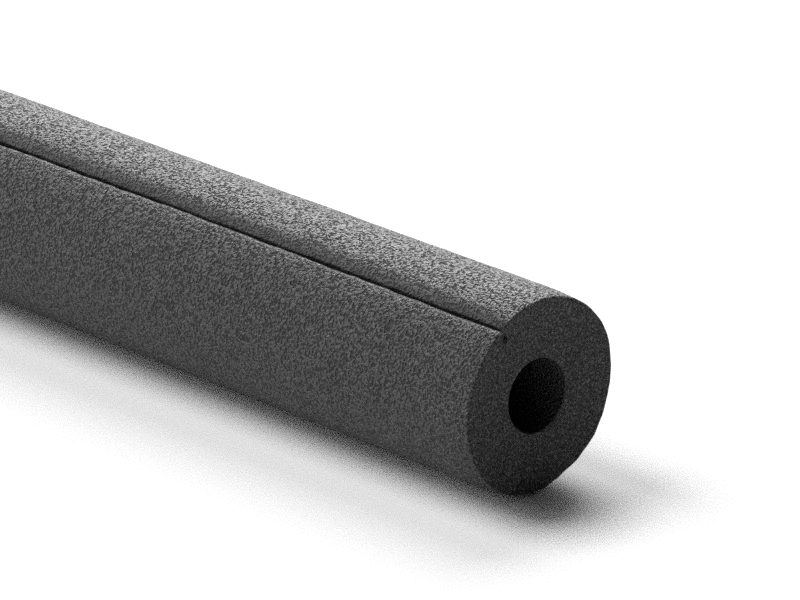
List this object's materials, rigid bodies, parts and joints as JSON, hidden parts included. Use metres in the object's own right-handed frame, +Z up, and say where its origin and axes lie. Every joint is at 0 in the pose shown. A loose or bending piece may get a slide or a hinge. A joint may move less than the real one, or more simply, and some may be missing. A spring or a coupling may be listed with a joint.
{
  "type": "pipe insulation lagging",
  "caption": "Straight length of closed-cell foam pipe lagging: a thick-walled tube with a round bore for the pipe and an opening slit along its side.",
  "frame": {"origin": "on the bore's axis, half way along the tube", "axes": "+X along the bore, +Z up as the tube lies, -Y towards the side that the slit opens on"},
  "size_m": [1, 0.041, 0.041],
  "materials": {
    "foam": "matte closed-cell foam with a pebbled skin and cut ends"
  },
  "bodies": {
    "root": {"foam_tube": "foam"}
  },
  "joints": []
}
